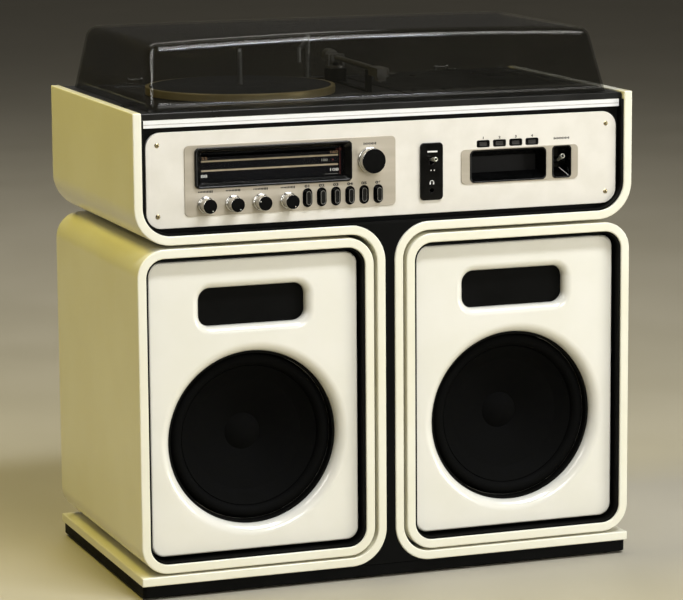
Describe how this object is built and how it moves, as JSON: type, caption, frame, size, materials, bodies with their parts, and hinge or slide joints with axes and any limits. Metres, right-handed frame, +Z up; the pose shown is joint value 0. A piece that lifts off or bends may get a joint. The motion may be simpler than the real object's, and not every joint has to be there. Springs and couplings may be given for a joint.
{
  "type": "stereo music centre",
  "caption": "Stereo music centre on a bent shell stand, with tuner dial, cartridge player, record changer under a smoked cover and a loudspeaker each side.",
  "frame": {"origin": "on the floor, in the middle of the width and of the depth from the knobs' faces to the back edge of the stand", "axes": "+X to the right seen from the front, +Y to the back, +Z up"},
  "size_m": [0.76, 0.443, 0.7922],
  "materials": {
    "cream_shell": "lacquered",
    "cream_cabinet": "lacquered",
    "cream_baffle": "gloss",
    "black_satin": "satin",
    "black_gloss": "gloss",
    "rubber": "matte",
    "black_board": "painted",
    "satin_cream": "satin",
    "brass": "polished",
    "taupe": "satin",
    "scale_black": "matte",
    "clear": "clear",
    "red_plastic": "gloss",
    "knob_metal": "turned",
    "button_black": "gloss",
    "chrome": "polished",
    "zinc_steel": "plated",
    "dark_board": "matte",
    "bright_trim": "bright",
    "dark_metal": "satin",
    "platter_metal": "satin",
    "cone_black": "matte",
    "smoked": "smoked"
  },
  "bodies": {
    "stand": {"shell_left": "cream_shell", "shell_right": "cream_shell", "centre_spine": "black_board", "base_plinth": "black_board", "base_glides": "rubber", "unit_case": "black_satin", "front_bulkhead": "black_satin", "faceplate": "satin_cream", "face_screws": "brass", "tuner_plate": "taupe", "dial_bezel": "black_gloss", "dial_scale": "scale_black", "dial_glass": "clear", "button_bezels": "black_gloss", "power_plate": "black_gloss", "tape_plate": "taupe", "tape_bezel": "black_gloss", "tape_transport": "zinc_steel", "program_lamps": "black_gloss", "amplifier_chassis": "zinc_steel", "rear_panel": "dark_board", "trim_strip": "bright_trim", "motor_board": "black_board", "deck_plate": "dark_metal", "spindle": "chrome", "changer_motor": "dark_metal", "tonearm_base": "black_satin", "lid_hinges": "zinc_steel"},
    "left_speaker": {"left_cabinet": "cream_cabinet", "left_liner": "black_board", "left_baffle": "cream_baffle", "left_woofer_chassis": "zinc_steel", "left_woofer_cone": "cone_black", "left_back_panel": "dark_board"},
    "right_speaker": {"right_cabinet": "cream_cabinet", "right_liner": "black_board", "right_baffle": "cream_baffle", "right_woofer_chassis": "zinc_steel", "right_woofer_cone": "cone_black", "right_back_panel": "dark_board"},
    "dial_pointer": {"dial_pointer": "red_plastic"},
    "tuning_knob": {"tuning_knob": "knob_metal"},
    "volume_knob": {"volume_knob": "knob_metal"},
    "balance_knob": {"balance_knob": "knob_metal"},
    "treble_knob": {"treble_knob": "knob_metal"},
    "bass_knob": {"bass_knob": "knob_metal"},
    "button_phono": {"button_phono": "button_black"},
    "button_am": {"button_am": "button_black"},
    "button_fm": {"button_fm": "button_black"},
    "button_stereo": {"button_stereo": "button_black"},
    "button_tape": {"button_tape": "button_black"},
    "button_afc": {"button_afc": "button_black"},
    "power_lever": {"power_lever": "chrome"},
    "tape_door": {"tape_door": "black_satin"},
    "program_lever": {"program_lever": "chrome"},
    "platter": {"platter": "platter_metal"},
    "overarm": {"overarm": "chrome"},
    "lid": {"lid": "smoked"},
    "arm_yoke": {"tonearm_gimbal": "bright_trim"},
    "tonearm": {"tonearm": "bright_trim"}
  },
  "joints": [
    {"name": "left_speaker_slide", "type": "slide", "parent": "stand", "child": "left_speaker", "axis": [0, -1, 0], "range_m": [0, 0.3]},
    {"name": "right_speaker_slide", "type": "slide", "parent": "stand", "child": "right_speaker", "axis": [0, -1, 0], "range_m": [0, 0.3]},
    {"name": "lid_hinge", "type": "hinge", "parent": "stand", "child": "lid", "pos_m": [0, 0.2155, 0.697], "axis": [-1, 0, 0], "range_deg": [0, 65]},
    {"name": "platter_spin", "type": "hinge", "parent": "stand", "child": "platter", "pos_m": [-0.145, 0.0265, 0.698], "axis": [0, 0, -1], "continuous": true},
    {"name": "tonearm_swing", "type": "hinge", "parent": "stand", "child": "arm_yoke", "pos_m": [0.045, 0.1365, 0.712], "axis": [0, 0, -1], "range_deg": [0, 42]},
    {"name": "tonearm_lift", "type": "hinge", "parent": "arm_yoke", "child": "tonearm", "pos_m": [0.045, 0.1365, 0.727], "axis": [-0.9984, 0.0558, 0], "range_deg": [0, 12]},
    {"name": "overarm_swing", "type": "hinge", "parent": "stand", "child": "overarm", "pos_m": [0.01, 0.1635, 0.72], "axis": [0, 0, -1], "range_deg": [-30, 23]},
    {"name": "tuning_knob_turn", "type": "hinge", "parent": "stand", "child": "tuning_knob", "pos_m": [-0.0268, -0.2085, 0.6117], "axis": [0, -1, 0], "range_deg": [0, 1080]},
    {"name": "pointer_slide", "type": "slide", "parent": "stand", "child": "dial_pointer", "axis": [-1, 0, 0], "range_m": [0, 0.205]},
    {"name": "volume_knob_turn", "type": "hinge", "parent": "stand", "child": "volume_knob", "pos_m": [-0.273, -0.2085, 0.5606], "axis": [0, -1, 0], "range_deg": [0, 300]},
    {"name": "balance_knob_turn", "type": "hinge", "parent": "stand", "child": "balance_knob", "pos_m": [-0.2323, -0.2085, 0.5606], "axis": [0, -1, 0], "range_deg": [0, 300]},
    {"name": "treble_knob_turn", "type": "hinge", "parent": "stand", "child": "treble_knob", "pos_m": [-0.1916, -0.2085, 0.5606], "axis": [0, -1, 0], "range_deg": [-216, 84]},
    {"name": "bass_knob_turn", "type": "hinge", "parent": "stand", "child": "bass_knob", "pos_m": [-0.1509, -0.2085, 0.5606], "axis": [0, -1, 0], "range_deg": [0, 300]},
    {"name": "button_phono_push", "type": "slide", "parent": "stand", "child": "button_phono", "axis": [0, 1, 0], "range_m": [0, 0.004], "stiffness_N_per_m": 250, "springref_m": -0.002},
    {"name": "button_am_push", "type": "slide", "parent": "stand", "child": "button_am", "axis": [0, 1, 0], "range_m": [0, 0.004], "stiffness_N_per_m": 250, "springref_m": -0.002},
    {"name": "button_fm_push", "type": "slide", "parent": "stand", "child": "button_fm", "axis": [0, 1, 0], "range_m": [0, 0.004], "stiffness_N_per_m": 250, "springref_m": -0.002},
    {"name": "button_stereo_push", "type": "slide", "parent": "stand", "child": "button_stereo", "axis": [0, 1, 0], "range_m": [0, 0.004], "stiffness_N_per_m": 250, "springref_m": -0.002},
    {"name": "button_afc_push", "type": "slide", "parent": "stand", "child": "button_afc", "axis": [0, 1, 0], "range_m": [0, 0.004], "stiffness_N_per_m": 250, "springref_m": -0.002},
    {"name": "button_tape_push", "type": "slide", "parent": "stand", "child": "button_tape", "axis": [0, 1, 0], "range_m": [-0.004, 0]},
    {"name": "power_lever_flip", "type": "hinge", "parent": "stand", "child": "power_lever", "pos_m": [0.0673, -0.1895, 0.606], "axis": [1, 0, 0], "range_deg": [0, 16]},
    {"name": "tape_door_swing", "type": "hinge", "parent": "stand", "child": "tape_door", "pos_m": [0.1872, -0.1737, 0.6092], "axis": [1, 0, 0], "range_deg": [0, 80], "stiffness_Nm_per_rad": 0.01, "springref_deg": -17.19},
    {"name": "program_lever_press", "type": "hinge", "parent": "stand", "child": "program_lever", "pos_m": [0.27175, -0.1825, 0.59425], "axis": [1, 0, 0], "range_deg": [0, 30], "stiffness_Nm_per_rad": 0.05, "springref_deg": -11.46}
  ],
  "couplings": [
    {"joint": "pointer_slide", "follows": "tuning_knob_turn", "m_per_rad": 0.01087}
  ]
}
